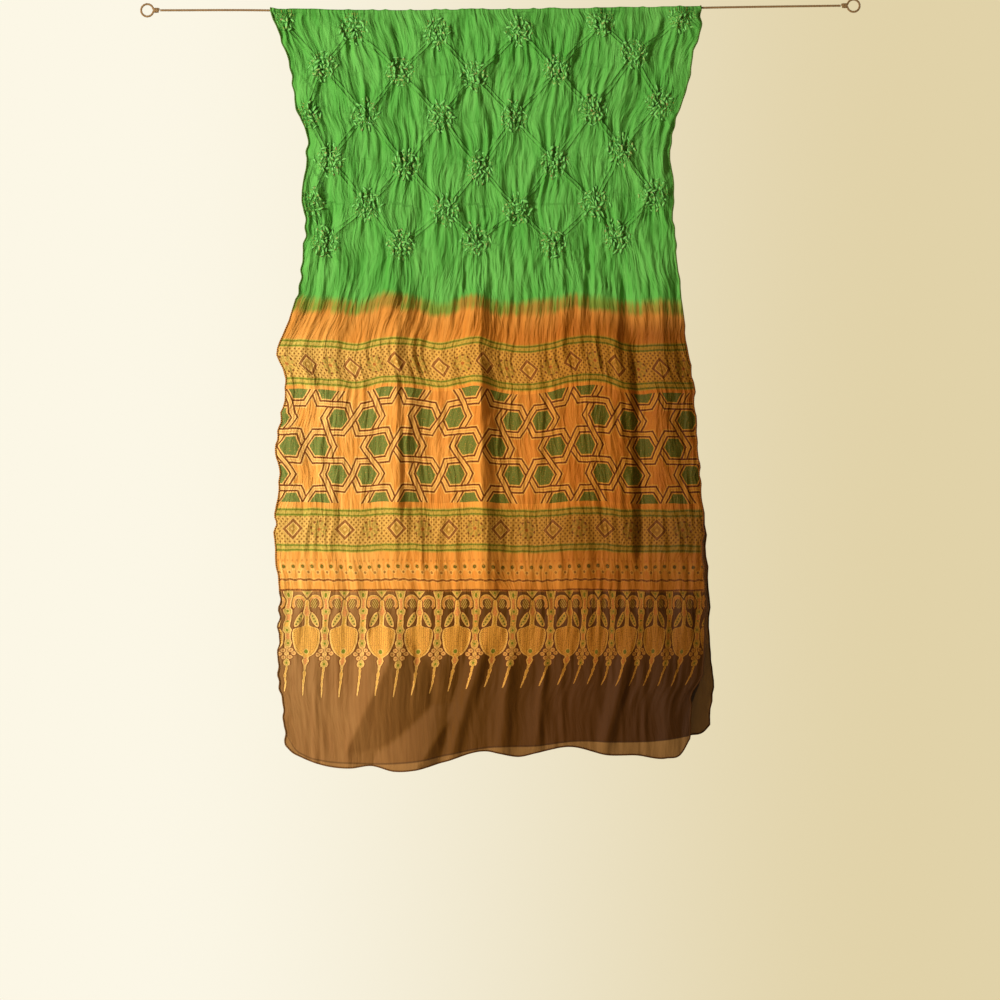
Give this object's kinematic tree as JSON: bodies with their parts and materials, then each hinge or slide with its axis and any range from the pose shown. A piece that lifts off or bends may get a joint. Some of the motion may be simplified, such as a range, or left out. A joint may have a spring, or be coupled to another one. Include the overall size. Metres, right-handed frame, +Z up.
{
  "type": "bandhani stole on a taut hanging line",
  "caption": "Sheer tie-dyed silk stole folded in half over a thin taut line, its puckered middle drawn in and its printed ends hanging wider.",
  "frame": {"origin": "on the axis of the hanging line, under the middle of the fold of the stole", "axes": "+X to the viewer's right along the line, -Y towards the viewer, +Z up"},
  "size_m": [0.937, 0.0405, 1.0037],
  "materials": {
    "tied_silk": "crinkled sheer silk, green in the middle, dip-dyed orange and brown at the ends, with block-printed borders",
    "line_cord": "thin twisted brown cord"
  },
  "bodies": {
    "root": {"stole": "tied_silk", "hanging_line": "line_cord", "left_end_loop": "line_cord", "right_end_loop": "line_cord"}
  },
  "joints": []
}
